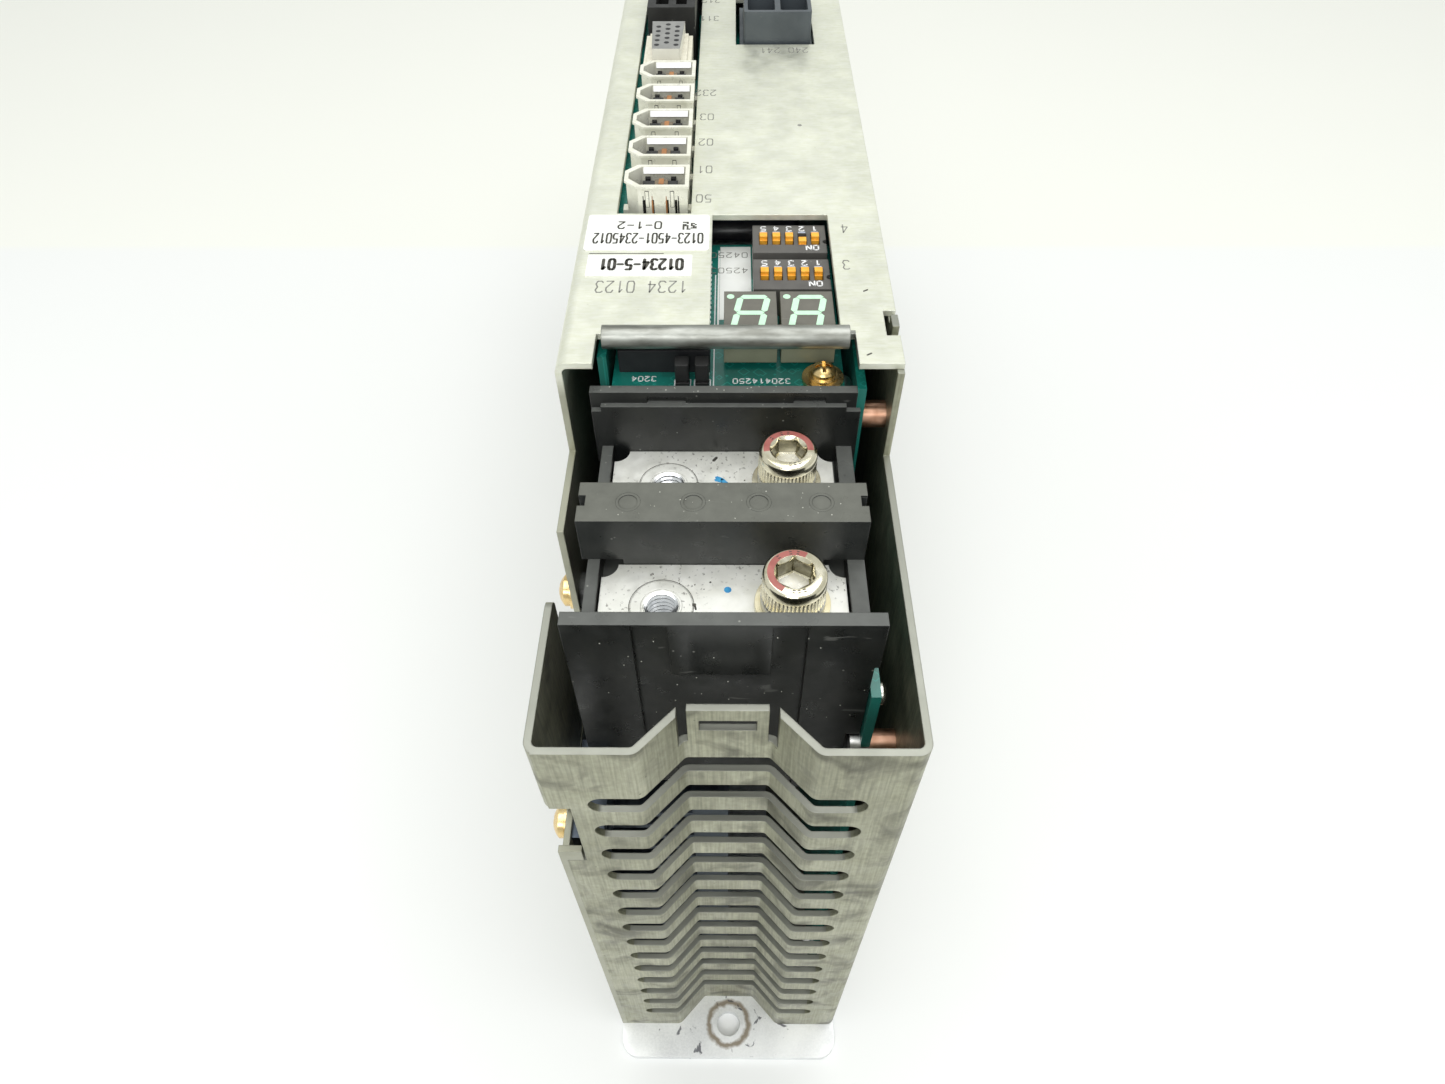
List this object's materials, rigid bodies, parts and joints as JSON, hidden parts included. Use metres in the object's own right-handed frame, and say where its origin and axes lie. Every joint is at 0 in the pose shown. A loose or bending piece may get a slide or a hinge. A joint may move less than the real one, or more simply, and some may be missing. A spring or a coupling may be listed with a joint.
{
  "type": "servo drive",
  "caption": "Book-format servo drive: folded zinc-plated case, bus bar terminals, DIP switches, two-digit display, signal sockets, heat sink and fan.",
  "frame": {"origin": "centre of the lower mounting hole, on the mounting plate's rear face", "axes": "+Y along the unit from its lower to its upper end, +Z out of the mounting plate towards the front panel, +X towards the side wall that carries the main board"},
  "size_m": [0.062, 0.3808, 0.197],
  "materials": {
    "plate_zinc": "bright zinc, fine speckle",
    "case_zinc": "zinc-plated sheet, brushed, handling marks",
    "cover_zinc": "zinc-plated sheet, warm grey-green",
    "chromate_screw": "yellow chromate",
    "heat_sink_aluminium": "extruded aluminium",
    "module_plastic": "moulded black plastic",
    "steel_screw": "plain steel",
    "board_green": "solder mask on glass epoxy",
    "spacer_copper": "copper flash",
    "capacitor_sleeve": "shrink sleeve",
    "terminal_plastic": "glass filled thermoplastic, black",
    "barrier_plastic": "glass filled thermoplastic, dark grey",
    "busbar_tin": "tinned copper, speckled",
    "cap_screw_nickel": "zinc-nickel, knurled head",
    "washer_chromate": "pale chromate",
    "chip_black": "epoxy package",
    "dip_grey": "dark grey moulding",
    "slider_orange": "orange moulding",
    "digit_face": "dark warm grey face",
    "socket_metal": "bright plated shell",
    "socket_plastic": "black insert",
    "monitor_cream": "cream moulding",
    "dc_slate": "slate grey moulding",
    "contact_tin": "tin plated contact",
    "label_white": "printed film",
    "fan_plastic": "black glass filled plastic"
  },
  "bodies": {
    "drive": {"board_angles": "steel_screw", "board_screw": "chromate_screw", "board_sticker": "label_white", "board_washer": "chromate_screw", "busbar_lower": "busbar_tin", "busbar_upper": "busbar_tin", "chassis": "case_zinc", "control_board": "board_green", "control_chips": "chip_black", "cover_labels": "label_white", "cover_screws": "chromate_screw", "dc_connector": "dc_slate", "dc_connector_contacts": "contact_tin", "dc_link_capacitors": "capacitor_sleeve", "digit_left": "digit_face", "digit_right": "digit_face", "dip_lower_body": "dip_grey", "dip_upper_body": "dip_grey", "display_board": "board_green", "encoder_connectors": "socket_plastic", "fan_bracket": "case_zinc", "fan_frame": "fan_plastic", "fan_screws": "steel_screw", "front_cover": "cover_zinc", "gate_board": "board_green", "heat_sink": "heat_sink_aluminium", "io_socket_1": "socket_metal", "io_socket_2": "socket_metal", "io_socket_3": "socket_metal", "io_socket_4": "socket_metal", "io_socket_5": "socket_metal", "io_socket_inserts": "socket_plastic", "jumpers": "socket_plastic", "main_board": "board_green", "main_board_screws": "steel_screw", "main_board_spacers": "spacer_copper", "monitor_connector_body": "monitor_cream", "monitor_connector_shell": "socket_metal", "motor_connector": "dc_slate", "motor_connector_contacts": "contact_tin", "mounting_plate": "plate_zinc", "power_module": "module_plastic", "power_module_screws": "steel_screw", "terminal_barrier": "barrier_plastic", "terminal_block": "terminal_plastic", "terminal_screws": "cap_screw_nickel", "terminal_spring_washers": "steel_screw", "terminal_washers": "washer_chromate", "upper_end_plate": "case_zinc"},
    "dip_lower_slider_1": {"dip_lower_slider_1": "slider_orange"},
    "dip_lower_slider_2": {"dip_lower_slider_2": "slider_orange"},
    "dip_lower_slider_3": {"dip_lower_slider_3": "slider_orange"},
    "dip_lower_slider_4": {"dip_lower_slider_4": "slider_orange"},
    "dip_lower_slider_5": {"dip_lower_slider_5": "slider_orange"},
    "dip_upper_slider_1": {"dip_upper_slider_1": "slider_orange"},
    "dip_upper_slider_2": {"dip_upper_slider_2": "slider_orange"},
    "dip_upper_slider_3": {"dip_upper_slider_3": "slider_orange"},
    "dip_upper_slider_4": {"dip_upper_slider_4": "slider_orange"},
    "dip_upper_slider_5": {"dip_upper_slider_5": "slider_orange"},
    "fan_rotor": {"fan_rotor": "fan_plastic"}
  },
  "joints": [
    {"name": "dip_lower_slider_1_travel", "type": "slide", "parent": "drive", "child": "dip_lower_slider_1", "axis": [0, -1, 0], "range_m": [0, 0.0016]},
    {"name": "dip_lower_slider_2_travel", "type": "slide", "parent": "drive", "child": "dip_lower_slider_2", "axis": [0, -1, 0], "range_m": [0, 0.0016]},
    {"name": "dip_lower_slider_3_travel", "type": "slide", "parent": "drive", "child": "dip_lower_slider_3", "axis": [0, -1, 0], "range_m": [0, 0.0016]},
    {"name": "dip_lower_slider_4_travel", "type": "slide", "parent": "drive", "child": "dip_lower_slider_4", "axis": [0, -1, 0], "range_m": [0, 0.0016]},
    {"name": "dip_lower_slider_5_travel", "type": "slide", "parent": "drive", "child": "dip_lower_slider_5", "axis": [0, -1, 0], "range_m": [0, 0.0016]},
    {"name": "dip_upper_slider_1_travel", "type": "slide", "parent": "drive", "child": "dip_upper_slider_1", "axis": [0, -1, 0], "range_m": [0, 0.0016]},
    {"name": "dip_upper_slider_2_travel", "type": "slide", "parent": "drive", "child": "dip_upper_slider_2", "axis": [0, -1, 0], "range_m": [-0.0016, 0]},
    {"name": "dip_upper_slider_3_travel", "type": "slide", "parent": "drive", "child": "dip_upper_slider_3", "axis": [0, -1, 0], "range_m": [0, 0.0016]},
    {"name": "dip_upper_slider_4_travel", "type": "slide", "parent": "drive", "child": "dip_upper_slider_4", "axis": [0, -1, 0], "range_m": [0, 0.0016]},
    {"name": "dip_upper_slider_5_travel", "type": "slide", "parent": "drive", "child": "dip_upper_slider_5", "axis": [0, -1, 0], "range_m": [0, 0.0016]},
    {"name": "fan_rotor_spin", "type": "hinge", "parent": "drive", "child": "fan_rotor", "pos_m": [-0.0016, 0.3435, 0.06], "axis": [0, 1, 0], "continuous": true}
  ]
}
